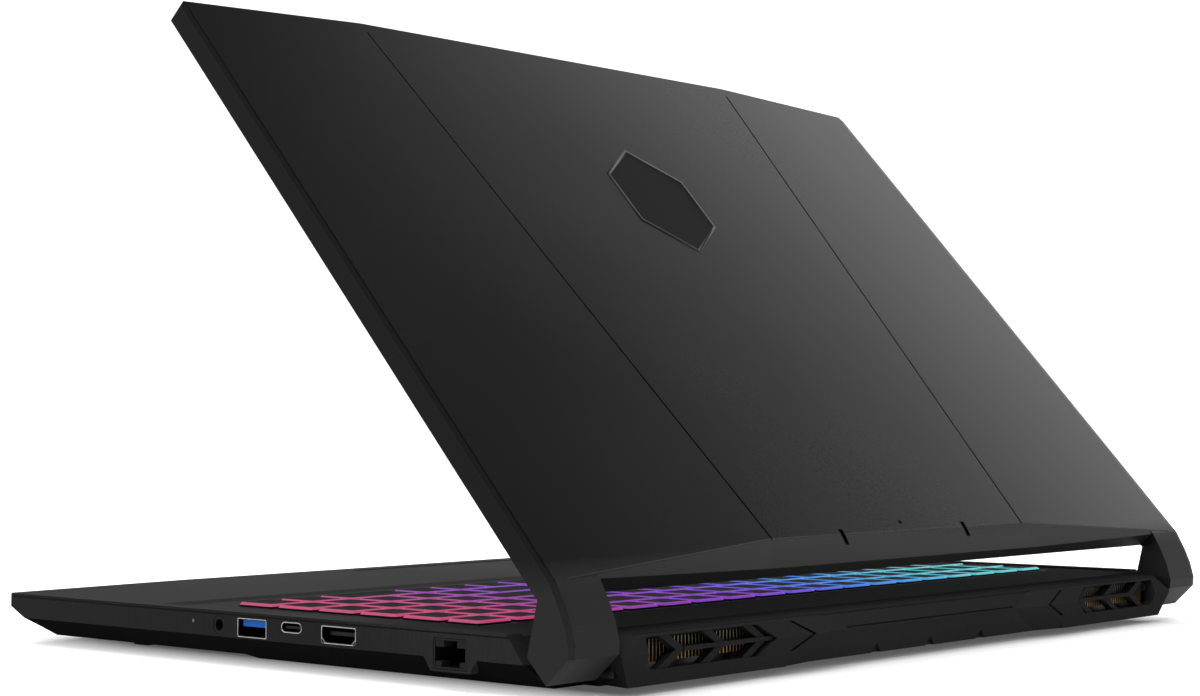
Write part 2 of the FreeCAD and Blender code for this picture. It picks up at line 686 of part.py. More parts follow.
def make_audio():
    y = REAR - AUDIO_RIGHT[0]
    z = AUDIO_RIGHT[1]
    x1 = HALF - 0.1
    collar = rod_x(HALF - 4.0, x1, y, z, AUDIO_RADIUS + 0.9)
    body = box(x1 - AUDIO_DEPTH - 1.0, HALF - WALL - 0.6, y - 3.0, y + 3.0, z - 2.6, z + 2.6)
    return join([collar, body]).cut(rod_x(x1 - AUDIO_DEPTH, x1 + 1, y, z, AUDIO_RADIUS))


def make_power_inlet():
    y = REAR - POWER_LEFT[0]
    z = POWER_LEFT[1]
    x1 = HALF - 0.1
    collar = rod_x(HALF - 5.0, x1, y, z, 3.4)
    inner = box(x1 - 12.5, HALF - 2 * WALL - 0.6, y - 4.0, y + 4.0, z - 3.9, z + 3.9)
    body = join([collar, inner])
    body = body.cut(rod_x(x1 - 10.5, x1 + 1, y, z, 2.8))
    return mirrored(join([body, rod_x(x1 - 11.0, x1 - 1.0, y, z, 0.8)]))


def io_board(side_places, depth):
    """Narrow board under the sockets of one side, cut round the deep ones."""
    y0 = REAR - 161.0
    y1 = REAR - 33.0
    board = box(HALF - 26.0, HALF - 9.0, y0, y1, BOARD_Z - 2.0, BOARD_Z - 0.8)
    return board.cut([box(HALF - depth, HALF, REAR - a, REAR - b, 0, DECK_Z) for a, b in side_places])


def make_hinge_base():
    x0 = BLOCK_HALF - 11.0
    x1 = BLOCK_HALF - 2.2
    barrel = rod_x(x0, x1, HINGE_Y, HINGE_Z, PIN_RADIUS + 0.85)
    web = box(x0, x1, HINGE_Y - 1.6, HINGE_Y + 1.2, FLOOR + 1.2, HINGE_Z)
    flange = box(x0, x1, CASE_REAR + 1.0, HINGE_Y + 1.2, FLOOR + 0.4, FLOOR + 1.8)
    bore = rod_x(x0 - 1, x1 + 1, HINGE_Y, HINGE_Z, PIN_RADIUS + RUNNING_FIT)
    return join([barrel, web, flange]).cut(bore)


def leaf_outline(grow):
    """Hinge leaf in (s, w): knuckle round the pin, then up into the lid."""
    k = 2.5 + grow
    low = LID_IN + BEZEL_THICKNESS + 0.3 - HINGE_Z - grow
    high = low + 1.2 + 2 * grow
    end = 34.0 + grow
    path = [(-k, -k), (k, -k), (4.0 + grow, 1.0), (16.5 + grow, low), (end, low), (end, high),
            (15.4, high), (0.6 - grow, k), (-k, k)]
    return [lid_point(s, w) for s, w in path]


def make_hinge_leaf():
    low = LID_IN + BEZEL_THICKNESS + 0.3
    leaf = prism_x(leaf_outline(0), ARM_IN + 3.6, ARM_IN + 12.0)
    flange = box(ARM_IN - 32.0, ARM_IN + 12.0, HINGE_Y - 34.0, HINGE_Y - 19.0, low, low + 1.2)
    bore = rod_x(ARM_IN, HALF, HINGE_Y, HINGE_Z, PIN_RADIUS + SEAT_FIT)
    return join([leaf, flange]).cut(bore)


CREASE = 24.5
CREASE_SIDE = 15.8
CREASE_MIDDLE = 74.0
FACET_FALL = 0.26


def facet_tool():
    """Space above the bent band at the foot of the lid."""
    top = LID_OUT - HINGE_Z

    def at(x, s, w):
        y, z = lid_point(s, w)
        return V(x, y, z)

    a = at(CREASE_MIDDLE, CREASE, top)
    b = at(HALF - 6.0, CREASE_SIDE, top)
    c = at(HALF, CREASE_SIDE - 10.0, top - 10.0 * FACET_FALL)
    normal = (b - a).cross(c - a)
    if normal.z < 0:
        normal = normal * -1
    side = half_space(a, normal)
    middle = half_space(at(0, CREASE, top), V(0, FACET_FALL, 1))
    band = box(-ARM_IN, ARM_IN, HINGE_Y - 60, HINGE_Y + 20, 0, 60)
    return middle.common(side).common(mirrored(side)).common(band)


def groove_between(p, q, wide, deep):
    """V-shaped groove in the outer face from p to q, given as (x, s)."""
    a = V(p[0], HINGE_Y - p[1], LID_OUT)
    b = V(q[0], HINGE_Y - q[1], LID_OUT)
    run = b - a
    across = V(run.y, -run.x, 0).normalize() * (wide / 2)
    return face([tuple(a - across), tuple(a + across), tuple(a - V(0, 0, deep))]).extrude(run)


def badge_outline(grow):
    wide = 20.5 + grow
    tall = 25.5 + grow
    y = HINGE_Y - 178.5
    shoulder = tall * 0.45
    return [(-wide, y - shoulder), (0, y - tall), (wide, y - shoulder), (wide, y + shoulder), (0, y + tall),
            (-wide, y + shoulder)]


def arm_outline(fall):
    """Side view of a lid arm as (y, z), with its outer edge moved inwards by fall."""
    top = LID_OUT - HINGE_Z
    low = LID_IN - HINGE_Z
    chain = [(26.0, top), (LID_EDGE, top), (8.0, 10.4), (3.0, 8.7), (-2.2, 6.0), (-ARM_BACK, 3.6)]
    lines = []
    for (s0, w0), (s1, w1) in zip(chain, chain[1:]):
        size = math.hypot(s1 - s0, w1 - w0)
        lines.append(((w1 - w0) / size, (s0 - s1) / size))
    before = lines[:1] + lines
    after = lines + lines[-1:]
    outer = []
    for (s, w), (a0, b0), (a1, b1) in zip(chain, before, after):
        share = fall / (1 + a0 * a1 + b0 * b1)
        outer.append((s - (a0 + a1) * share, w - (b0 + b1) * share))
    under = [(-ARM_BACK, -ARM_DROP + 0.4), (ARM_TOE, -ARM_DROP), (14.4, low), (26.0, low)]
    return [lid_point(s, w) for s, w in outer + under]


def make_arm():
    edge = LID_HALF - BEVEL_RUN
    inner = prism_x(arm_outline(0), ARM_IN, edge)
    wires = []
    for x, fall in ((edge, 0.0), (LID_HALF, BEVEL_FALL)):
        corners = [V(x, y, z) for y, z in arm_outline(fall)]
        wires.append(Part.makePolygon(corners + corners[:1]))
    return join([inner, Part.makeLoft(wires, True, True)])


def make_lid_cover():
    rear = HINGE_Y - LID_EDGE
    panel = prism_z(lid_outline(0, rear, 2.2), LID_IN, LID_OUT)
    bevel = [(LID_HALF - BEVEL_RUN, LID_OUT), (LID_HALF, LID_OUT - BEVEL_FALL),
             (LID_HALF + 2, LID_OUT - BEVEL_FALL), (LID_HALF + 2, LID_OUT + 1),
             (LID_HALF - BEVEL_RUN, LID_OUT + 1)]
    panel = panel.cut([facet_tool()] + pair(prism_y(bevel, FRONT - 5, REAR)))
    cover = join([panel] + pair(make_arm()))
    nose = [(-2, LID_OUT - 0.4), (0, LID_OUT - 0.4), (0.5, LID_OUT), (0.5, LID_OUT + 1), (-2, LID_OUT + 1)]
    tools = [along_edge(edge, nose) for edge in front_edges(FRONT_OVERHANG)]
    skin = LID_OUT - WALL
    tools.append(prism_z(lid_outline(2.2, HINGE_Y - 26.5, 3.0), LID_IN - 1, skin))
    chin_high = LID_IN + BEZEL_THICKNESS + 0.3 + 1.2 + 0.25
    side = LID_HALF - 2.2
    tools.append(box(-side, side, HINGE_Y - 27.0, HINGE_Y - LID_EDGE - 1.8, LID_IN - 1, chin_high))
    tools += pair(prism_x(leaf_outline(0.25), ARM_IN + 3.2, ARM_IN + 12.4))
    tools += pair(rod_x(ARM_IN - 1, HALF - 3.2, HINGE_Y, HINGE_Z, PIN_RADIUS + 0.1))
    for side in (-1, 1):
        tools.append(groove_between((side * 99.7, 249.5), (side * 73.65, CREASE), 0.9, 0.4))
        tools.append(groove_between((side * 73.65, CREASE), (side * (HALF - 6.0), CREASE_SIDE), 0.7, 0.3))
        x = side * 36
        tools.append(box(x - 1.1, x + 1.1, HINGE_Y - 26.6, HINGE_Y - 21.0, LID_OUT - 1.4, LID_OUT + 1))
    tools.append(groove_between((-73.65, CREASE), (73.65, CREASE), 0.7, 0.3))
    tools.append(rod_z(0, HINGE_Y - 28.0, LID_OUT - 0.4, LID_OUT + 1, 0.8))
    tools.append(prism_z(badge_outline(PANEL_FIT), LID_OUT - 0.5, LID_OUT + 1))
    return cover.cut(tools)


def screen_box(grow, z0, z1):
    top = FRONT + SCREEN_TOP
    side = ACTIVE_WIDTH / 2 + grow
    return box(-side, side, top - grow, top + ACTIVE_HEIGHT + grow, z0, z1)


def make_bezel():
    outline = lid_outline(2.2 + PANEL_FIT, HINGE_Y - LID_EDGE - 2.0, 3.0)
    frame = prism_z(outline, LID_IN, LID_IN + BEZEL_THICKNESS)
    lens = rod_z(0, FRONT + 6.2, LID_IN - 1, LID_OUT, 2.0)
    return frame.cut([screen_box(0.6, LID_IN - 1, LID_OUT), lens])


def make_panel():
    low = LID_IN + BEZEL_THICKNESS + 0.1
    glass = screen_box(2.4, low, low + PANEL_THICKNESS)
    foot = FRONT + SCREEN_TOP + ACTIVE_HEIGHT
    strip = box(-120, 120, foot, HINGE_Y - 38.0, low + 0.6, low + PANEL_THICKNESS)
    return join([glass, strip])


def make_bumpers():
    high = LID_IN
    low = LID_IN - LID_GAP + 0.2
    bars = [box(x - 14, x + 14, FRONT + 6.0, FRONT + 8.0, low, high) for x in (-110, -45, 45, 110)]
    bars += [box(x - 1.0, x + 1.0, FRONT + 40.0, FRONT + 56.0, low, high) for x in (4.5 - HALF, HALF - 4.5)]
    return bars


def make_cable():
    z = LID_IN + BEZEL_THICKNESS + 0.3 + 1.2 + 0.9
    ribbon = box(24.0, ARM_IN - 20.5, HINGE_Y - 34.5, HINGE_Y - 27.6, z, z + 0.4)
    return join([ribbon, box(24.0, 40.0, HINGE_Y - 38.0, HINGE_Y - 27.6, z, z + 0.4)])


def make_feet():
    side = HALF - 39.5
    rear = box(-side, side, CASE_REAR - 17.0, CASE_REAR - 7.5, 0, FOOT_HEIGHT)
    front = pair(box(HALF - 87.5, HALF - 29.5, FRONT + 36.0, FRONT + 43.0, 0, FOOT_HEIGHT + BELLY_STEP))
    return rear, group(front)


def make_screws():
    screws = []
    for x, y in screw_places():
        z = belly_z(y)
        head = rod_z(x, y, z + 0.5, z + 1.9, HEAD_RADIUS)
        shank = rod_z(x, y, z + 1.9, PLATE_UNDER - 1.6, SCREW_RADIUS - RUNNING_FIT)
        cross = [box(x - a, x + a, y - b, y + b, z, z + 1.1) for a, b in ((1.3, 0.3), (0.3, 1.3))]
        screws.append(join([head, shank]).cut(cross))
    return group(screws)


def build():
    parts = {}
    shell = case_shell()
    parts["top_case"] = make_top_case(shell)
    parts["bottom_cover"] = make_bottom_cover(shell)
    parts["rear_vent_block"] = make_rear_block()
    parts["rear_foot"], parts["front_feet"] = make_feet()
    parts["cover_screws"] = make_screws()

    flange = keyboard_opening(FLANGE, PLATE_TOP, PLATE_UNDER)
    frame = join([keyboard_opening(-PANEL_FIT, PLATE_TOP, PAN_Z), flange])
    holes = []
    for row, column, x0, x1, y0, y1 in key_places():
        holes.append(box(x0 - KEY_FIT, x1 + KEY_FIT, y0 - KEY_FIT, y1 + KEY_FIT, 0, DECK_Z + 1))
        parts.setdefault(key_group(row, column), []).append(keycap(x0, x1, y0, y1))
    parts["keyboard_frame"] = frame.cut(holes)
    parts["keyboard_plate"] = keyboard_opening(FLANGE, PLATE_TOP - PLATE_SHEET, PLATE_TOP)

    pad_top = DECK_Z - PAD_SINK
    parts["touchpad"] = touchpad_box(0, pad_top - 1.2, pad_top)
    tray = touchpad_box(4.0, PLATE_UNDER - 1.6, PLATE_UNDER)
    parts["touchpad_tray"] = tray.cut(touchpad_box(1.0, PLATE_UNDER - 0.6, PLATE_UNDER + 1))

    board_top = BOARD_Z + BOARD_SHEET
    parts["main_board"] = box(-BOARD_HALF, BOARD_HALF, BOARD_FRONT, BOARD_BACK, BOARD_Z, board_top)
    chip = BOARD_Z - 1.0
    chip_y = (CASE_REAR - 63.5, CASE_REAR - CHIP_BACK)
    parts["processor_chips"] = group([box(22.0, 50.0, *chip_y, chip, BOARD_Z),
                                      box(-52.0, -20.0, chip_y[0] - 2.0, chip_y[1], chip, BOARD_Z)])
    plate_y = (CASE_REAR - PLATE_FRONT, CASE_REAR - PLATE_BACK)
    parts["cold_plates"] = group([box(16.0, 56.0, *plate_y, PIPE_HIGH, chip),
                                  box(-58.0, -14.0, *plate_y, PIPE_HIGH, chip)])
    run = CASE_REAR + 2.2
    low = plate_y[0] + 0.5
    short = CASE_REAR - 7.0
    pipes = [pipe_run(24.0, low, run, WINDOW_OUT - 2, 7.0), pipe_run(40.0, low, short, BOARD_HALF, 5.0)]
    pipes += [mirrored(pipe_run(28.0, low, run, WINDOW_OUT - 2, 7.0)),
              mirrored(pipe_run(44.0, low, short, BOARD_HALF, 5.0))]
    parts["heat_pipes"] = group(pipes)
    parts["fin_stack_right"], parts["fin_stack_left"] = pair(make_fin_stack())
    parts["fan_housing_right"], parts["fan_housing_left"] = pair(make_fan_housing())
    parts["fan_rotor_right"], parts["fan_rotor_left"] = pair(make_fan_rotor())
    battery_low = FLOOR + BELLY_STEP
    left = -SPEAKER_IN + 2 * BATTERY_SIDE
    right = SPEAKER_IN - BATTERY_SIDE
    rear = BOARD_FRONT - BATTERY_GAP
    parts["battery_pack"] = box(left, right, FRONT + BATTERY_FRONT, rear, battery_low, battery_low + 7.4)
    slot_low = BOARD_Z - 4.2
    memory = []
    for step in (1.0, 34.5):
        y = BOARD_FRONT + step
        card = box(-34.0, 34.0, y, y + 30.0, slot_low, slot_low + 1.4)
        memory.append(join([card, box(-36.0, 36.0, y + 26.0, y + 33.0, slot_low, BOARD_Z)]))
    parts["memory_modules"] = group(memory)
    card_y = BOARD_FRONT + 4.0
    parts["drive_card"] = join([box(44.0, 66.0, card_y, card_y + 52.0, BOARD_Z - 3.0, BOARD_Z - 1.0),
                                box(43.0, 67.0, card_y - 2.0, card_y + 5.0, BOARD_Z - 3.6, BOARD_Z)])
    parts["wireless_card"] = join([box(-66.0, -44.0, card_y, card_y + 30.0, BOARD_Z - 3.0, BOARD_Z - 1.0),
                                   box(-67.0, -43.0, card_y - 2.0, card_y + 4.0, BOARD_Z - 3.6, BOARD_Z)])
    speaker = box(SPEAKER_IN, SPEAKER_OUT, FRONT + 44.0, FRONT + 72.0, battery_low, battery_low + 6.0)
    parts["speaker_right"], parts["speaker_left"] = pair(speaker)

    parts["usb_a_socket_right"] = make_usb_a(USB_A_RIGHT)
    parts["usb_a_sockets_left"] = group([mirrored(make_usb_a(place)) for place in left_usb_places()])
    parts["usb_c_socket"] = make_usb_c()
    parts["hdmi_socket"] = make_hdmi()
    parts["network_socket"] = make_network()
    parts["audio_socket"] = make_audio()
    parts["power_inlet"] = make_power_inlet()
    y = REAR - LIGHT_RIGHT[0]
    z = LIGHT_RIGHT[1]
    guide = box(HALF - 14.0, HALF - 3.0, y - 0.8, y + 0.8, BOARD_Z - 0.8, z + 0.6)
    parts["status_light"] = join([rod_x(HALF - 3.0, HALF - 0.1, y, z, 0.6), guide])
    parts["socket_board_right"] = io_board([(55.0, 35.5)], 16.0)
    parts["socket_board_left"] = mirrored(io_board([(60.0, 50.0)], 16.0))

    parts["hinge_base_right"], parts["hinge_base_left"] = pair(make_hinge_base())
    leaf = raised(make_hinge_leaf())
    parts["hinge_leaf_right"], parts["hinge_leaf_left"] = pair(leaf)
    pin = rod_x(BLOCK_HALF - 10.6, HALF - 3.6, HINGE_Y, HINGE_Z, PIN_RADIUS)
    parts["hinge_pin_right"], parts["hinge_pin_left"] = pair(pin)
    parts["lid_cover"] = raised(make_lid_cover())
    parts["lid_badge"] = raised(prism_z(badge_outline(0), LID_OUT - 0.5, LID_OUT))
    parts["screen_bezel"] = raised(make_bezel())
    parts["display_panel"] = raised(make_panel())
    webcam_low = LID_IN + BEZEL_THICKNESS
    webcam = join([box(-34.0, 34.0, FRONT + 4.2, FRONT + 8.2, webcam_low + 0.1, webcam_low + 2.4),
                   rod_z(0, FRONT + 6.2, LID_IN + 0.3, webcam_low + 1.0, 1.8)])
    parts["webcam_module"] = raised(webcam)
    parts["lid_bumpers"] = raised(group(make_bumpers()))
    parts["display_cable"] = raised(make_cable())

    os.makedirs("parts", exist_ok=True)
    for name, shape in parts.items():
        solid = group(shape) if isinstance(shape, list) else shape
        solid.exportStep("parts/%s.step" % name)
        state = "valid" if solid.isValid() else "INVALID"
        print(name, len(solid.Solids), "solids", round(solid.Volume, 1), "mm3", state)


build()
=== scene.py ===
# %% [markdown]
# # A laptop computer, seen from behind
# The machine stands open, its dark lid leaning over a lit keyboard. The solids with their
# true sizes are already made, so this lesson dresses them: finishes, keycaps with glowing
# sides, cooling fins, socket rims, and then the studio and the camera.

# %% The fixed frame
import bpy
import math
import numpy as np
from mathutils import Matrix, Vector


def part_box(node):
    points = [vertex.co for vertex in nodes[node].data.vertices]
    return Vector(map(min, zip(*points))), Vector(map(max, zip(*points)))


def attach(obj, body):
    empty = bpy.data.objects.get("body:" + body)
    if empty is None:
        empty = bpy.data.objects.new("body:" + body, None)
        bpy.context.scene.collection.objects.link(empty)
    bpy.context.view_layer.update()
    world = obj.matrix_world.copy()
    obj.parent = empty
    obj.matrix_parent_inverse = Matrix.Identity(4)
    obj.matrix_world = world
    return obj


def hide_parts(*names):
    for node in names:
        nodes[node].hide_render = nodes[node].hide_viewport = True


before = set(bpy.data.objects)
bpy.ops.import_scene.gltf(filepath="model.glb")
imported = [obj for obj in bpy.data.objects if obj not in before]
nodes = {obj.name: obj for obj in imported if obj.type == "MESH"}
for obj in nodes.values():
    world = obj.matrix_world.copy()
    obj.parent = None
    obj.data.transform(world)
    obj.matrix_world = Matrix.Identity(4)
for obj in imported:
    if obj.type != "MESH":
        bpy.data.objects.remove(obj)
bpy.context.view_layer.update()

# %% [markdown]
# ## Arithmetic with sockets
# A finish is a small sum: grain times a strength, a mask from two limits. Node trees are
# hard to read as links, so one class wraps a socket and lets Python operators add the Math
# nodes. Every other node comes from its `node` method.

# %% The socket class
class Wire:
    """A shader socket that takes part in Python expressions."""

    def __init__(self, tree, socket=None):
        self.tree = tree
        self.socket = socket

    def node(self, kind, settings=(), inputs=(), out=0):
        made = self.tree.nodes.new(kind)
        for key, value in dict(settings).items():
            if key == "stops":
                steps = made.color_ramp.elements
                steps[0].position = value[0][0]
                steps[1].position = value[-1][0]
                for place, _ in value[1:-1]:
                    steps.new(place)
                for step, (_, colour) in zip(steps, value):
                    step.color = (*colour, 1.0)
            else:
                setattr(made, key, value)
        for key, value in dict(inputs).items():
            if isinstance(value, Wire):
                self.tree.links.new(value.socket, made.inputs[key])
            else:
                made.inputs[key].default_value = value
        return Wire(self.tree, made.outputs[out])

    def math(self, operation, other=0.0, swap=False):
        first, second = (other, self) if swap else (self, other)
        return self.node("ShaderNodeMath", {"operation": operation}, {0: first, 1: second})

    def __add__(self, other):
        return self.math("ADD", other)

    __radd__ = __add__

    def __sub__(self, other):
        return self.math("SUBTRACT", other)

    def __rsub__(self, other):
        return self.math("SUBTRACT", other, True)

    def __mul__(self, other):
        return self.math("MULTIPLY", other)

    __rmul__ = __mul__

    def __gt__(self, other):
        return self.math("GREATER_THAN", other)

    def __lt__(self, other):
        return self.math("LESS_THAN", other)

    def __abs__(self):
        return self.math("ABSOLUTE")

    def mix(self, low, high):
        """Colour between low and high, with this socket as the share of high."""
        return self.node("ShaderNodeMix", {"data_type": "RGBA"}, {0: self, 6: low, 7: high}, 2)


def new_finish(name):
    """A material with its Principled shader, and a Wire to build on."""
    material = bpy.data.materials.new(name)
    material.use_nodes = True
    return material, Wire(material.node_tree), material.node_tree.nodes["Principled BSDF"]


def feed(wire, shader, **sockets):
    """Set or link shader sockets; underscores stand for spaces."""
    for key, value in sockets.items():
        target = shader.inputs[key.replace("_", " ")]
        if isinstance(value, Wire):
            wire.tree.links.new(value.socket, target)
        else:
            target.default_value = value


def place(wire):
    """Object coordinates as a vector."""
    return wire.node("ShaderNodeTexCoord", out="Object")


def axes(wire, at):
    """The x, y and z of a vector."""
    return [wire.node("ShaderNodeSeparateXYZ", (), {0: at}, axis) for axis in range(3)]


def noise(wire, at, scale, detail=2.0, stretch=(1.0, 1.0, 1.0)):
    """Noise from 0 to 1, its cells stretched along the axes with small factors."""
    turned = wire.node("ShaderNodeMapping", (), {"Vector": at, "Scale": stretch})
    return wire.node("ShaderNodeTexNoise", (), {"Vector": turned, "Scale": scale, "Detail": detail})


print("socket class ready")

# %% [markdown]
# ## Moulded plastic
# The shell is dark plastic with a fine spark-eroded grain. Close up it is a bed of tiny
# bumps, from a step away it only softens the gloss. Fine noise feeds a Bump node, and slow
# noise shifts colour and roughness a little, as handling does. Some ends are duller than the
# rest and carry painted light: a faint painted highlight along the lid's edges, and a lighter
# painted tone on the hinge arms and on the rear of the case.

# %% Shell finishes
def grey(level, warm=0.0):
    return (level * (1 + warm), level, level * (1 + 0.05 - warm), 1.0)


def moulded(name, level, rough, grain=0.10, streak=0.0, gloss=0.35, size=1500.0, matt=()):
    """Grained plastic: colour = level * (1 +- 15 % slow noise) + streaks, normal = fine noise.

    Each end = (axis, start, slope, level, roughness) makes an end dull and paints light on it as a
    colour level, its share being (place on the axis - start) * slope, held between 0 and 1.
    """
    material, wire, shader = new_finish(name)
    at = place(wire)
    x, y, z = axes(wire, at)
    slow = noise(wire, at, 9.0, 3.0)
    fine = noise(wire, at, size, 2.0)
    share = slow * 0.6 + fine * 0.4
    if streak:
        share = share + (noise(wire, at, 420.0, 3.0, (1.0, 4.0, 0.5)) - 0.5) * streak
    colour = share.mix(grey(level * 0.72), grey(level * 1.28))
    dull = slow * 0.10 + fine * 0.03 + (rough - 0.065)
    # Each end blends to its own colour level, which is painted light, and to its own roughness.
    for axis, start, slope, painted_tone, flat in matt:
        end = (((abs(x), y, z)[axis] - start) * slope).math("MAXIMUM", 0.0).math("MINIMUM", 1.0)
        colour = end.mix(colour, share.mix(grey(painted_tone * 0.72), grey(painted_tone * 1.28)))
        dull = dull + end * (flat - dull)
    feed(wire, shader, Base_Color=colour, Roughness=dull, Specular_IOR_Level=gloss,
         Normal=wire.node("ShaderNodeBump", (), {"Strength": grain, "Distance": 0.0002, "Height": fine}))
    return material


# Lid edges: duller and a touch lighter as a painted highlight; low on the lid, the hinge arms are lighter
# as painted light from the rear.
lid_dull_and_painted_ends = [(0, 0.1790, 2000.0, 0.0045, 0.80), (2, 0.038, -100.0, 0.009, 0.58)]
lid_plastic = moulded("lid_plastic", 0.0034, 0.26, 0.006, 0.0, 0.13, matt=lid_dull_and_painted_ends)
# The rear of the case is rougher, and its colour is lifted as painted light.
case_dull_and_painted_ends = [(1, 0.030, 20.0, 0.024, 0.90)]
case_plastic = moulded("case_plastic", 0.0105, 0.60, 0.12, 1.1, 0.045, matt=case_dull_and_painted_ends)
vent_plastic = moulded("vent_plastic", 0.0240, 0.66, 0.10, 0.3, 0.0)
under_plastic = moulded("under_plastic", 0.007, 0.66, 0.14, 0.0, 0.0)
tray_plastic = moulded("tray_plastic", 0.008, 0.58, 0.10, 0.0, 0.05)
socket_black = moulded("socket_black", 0.007, 0.50, 0.05, 0.0, 0.08)
foot_rubber = moulded("foot_rubber", 0.012, 0.82, 0.25, 0.0, 0.2, 900.0)
screen_rim = moulded("screen_rim", 0.008, 0.5, 0.06, 0.0, 0.25)
print("finishes so far", len(bpy.data.materials))

# %% [markdown]
# ## Metal, copper and boards
# Socket shells are plated sheet, the fins and pipes of the cooler are thin metal, and the
# boards inside carry a green lacquer. Brushed metal is noise stretched along one axis, which
# changes the roughness more than the colour.

# %% Metals and inner finishes
def brushed(name, low, high, rough, stretch, scale=600.0):
    """Metal with drawn lines: noise stretched along one axis drives colour and roughness."""
    material, wire, shader = new_finish(name)
    lines = noise(wire, place(wire), scale, 3.0, stretch)
    feed(wire, shader, Base_Color=lines.mix((*low, 1.0), (*high, 1.0)), Metallic=1.0,
         Roughness=lines * 0.22 + (rough - 0.1),
         Normal=wire.node("ShaderNodeBump", (), {"Strength": 0.05, "Distance": 0.0001, "Height": lines}))
    return material


plated = brushed("plated_sheet", (0.26, 0.26, 0.27), (0.46, 0.46, 0.48), 0.30, (0.2, 1.0, 1.0))
steel = brushed("hinge_steel", (0.30, 0.30, 0.31), (0.52, 0.52, 0.53), 0.36, (0.2, 1.0, 1.0))
black_steel = brushed("black_steel", (0.03, 0.03, 0.03), (0.07, 0.07, 0.07), 0.42, (1.0, 1.0, 0.3))
copper = brushed("copper", (0.55, 0.27, 0.12), (0.82, 0.47, 0.26), 0.30, (0.15, 1.0, 1.0), 300.0)


def lacquered(name, low, high, scale):
    """Board lacquer or cell wrap: patches of two close colours with fine relief."""
    material, wire, shader = new_finish(name)
    patch = noise(wire, place(wire), scale, 4.0)
    feed(wire, shader, Base_Color=patch.mix((*low, 1.0), (*high, 1.0)), Roughness=patch * 0.2 + 0.28,
         Normal=wire.node("ShaderNodeBump", (), {"Strength": 0.15, "Distance": 0.0003, "Height": patch}))
    return material


board_green = lacquered("board_green", (0.006, 0.035, 0.020), (0.015, 0.080, 0.045), 380.0)
module_black = lacquered("module_black", (0.010, 0.010, 0.011), (0.028, 0.028, 0.031), 160.0)
screen_glass = lacquered("screen_glass", (0.004, 0.004, 0.005), (0.007, 0.007, 0.008), 40.0)
print("finishes so far", len(bpy.data.materials))

# %% Finishes on the carried-over nodes
dress = {
    lid_plastic: ["lid_cover"],
    screen_rim: ["screen_bezel"],
    case_plastic: ["top_case"],
    tray_plastic: ["keyboard_frame", "touchpad_tray"],
    under_plastic: ["bottom_cover"],
    vent_plastic: ["rear_vent_block"],
    foot_rubber: ["rear_foot", "front_feet", "lid_bumpers"],
    black_steel: ["cover_screws", "hinge_base_right", "hinge_base_left", "heat_pipes"],
    steel: ["hinge_leaf_right", "hinge_leaf_left", "hinge_pin_right", "hinge_pin_left"],
    copper: ["cold_plates"],
    board_green: ["main_board", "memory_modules", "drive_card", "wireless_card", "socket_board_right",
                  "socket_board_left"],
    module_black: ["processor_chips", "fan_housing_right", "fan_housing_left", "fan_rotor_right",
                   "fan_rotor_left", "battery_pack", "speaker_right", "speaker_left", "webcam_module",
                   "display_cable"],
    socket_black: ["network_socket", "audio_socket", "power_inlet"],
    screen_glass: ["display_panel"],
}


def wear(node, material):
    data = nodes[node].data
    data.materials.clear()
    data.materials.append(material)


for material, names in dress.items():
    for name in names:
        wear(name, material)
print("dressed", sum(len(names) for names in dress.values()))

# %% [markdown]
# ## Sockets
# A USB socket is a plated shell round a coloured tongue. Both are one solid here, so the
# finish finds the tongue by its place: a box mask made of limits on the Object coordinates.

# %% Socket finishes with a tongue
FRONT = -0.1295
HALF = 0.1795


def tongue_finish(name, tongue, y_mid, y_half, z_low, z_high, x_max):
    """Plated metal painted dark inside the mouth as painted shade, and the tongue colour where |y - y_mid|
    < y_half, z in its span and |x| < x_max.
    """
    material, wire, shader = new_finish(name)
    at = place(wire)
    x, y, z = axes(wire, at)
    inside = (abs(y - y_mid) < y_half) * (z > z_low) * (z < z_high) * (abs(x) < x_max)
    lines = noise(wire, at, 500.0, 2.0, (0.2, 1.0, 1.0))
    # Metal further in than the mouth is painted near-black: painted shade in the recess.
    deep = abs(x) < HALF - 0.0006
    metal = (lines * 0.3 + deep * 0.7).mix((0.10, 0.10, 0.105, 1.0), (0.015, 0.015, 0.016, 1.0))
    feed(wire, shader, Base_Color=inside.mix(metal, (*tongue, 1.0)), Metallic=1.0 - inside,
         Roughness=lines * 0.15 + inside * 0.2 + 0.2, Specular_IOR_Level=0.08)
    return material


BLUE = (0.010, 0.13, 0.55)
INK = (0.012, 0.012, 0.013)
tongues = {
    "usb_a_socket_right": (BLUE, FRONT + 0.1306, 0.0054, 0.0132, 0.0152, HALF - 0.0012),
    "usb_a_sockets_left": (BLUE, FRONT + 0.1660, 0.0154, 0.0132, 0.0152, HALF - 0.0012),
    "usb_c_socket": (INK, FRONT + 0.1483, 0.0034, 0.0137, 0.0146, HALF - 0.0008),
    "hdmi_socket": (INK, FRONT + 0.1686, 0.0057, 0.0127, 0.0140, HALF - 0.0019),
}
for name, values in tongues.items():
    wear(name, tongue_finish(name + "_finish", *values))
print("sockets", len(tongues))

# %% [markdown]
# ## Surfaces from rings
# Most small pieces here are a stack of rings: an outline is repeated with other insets and
# heights, and quads join each ring to the next. One helper works out a rounded rectangle as
# an array and another turns stacked rings into a closed mesh, all without a vertex loop.

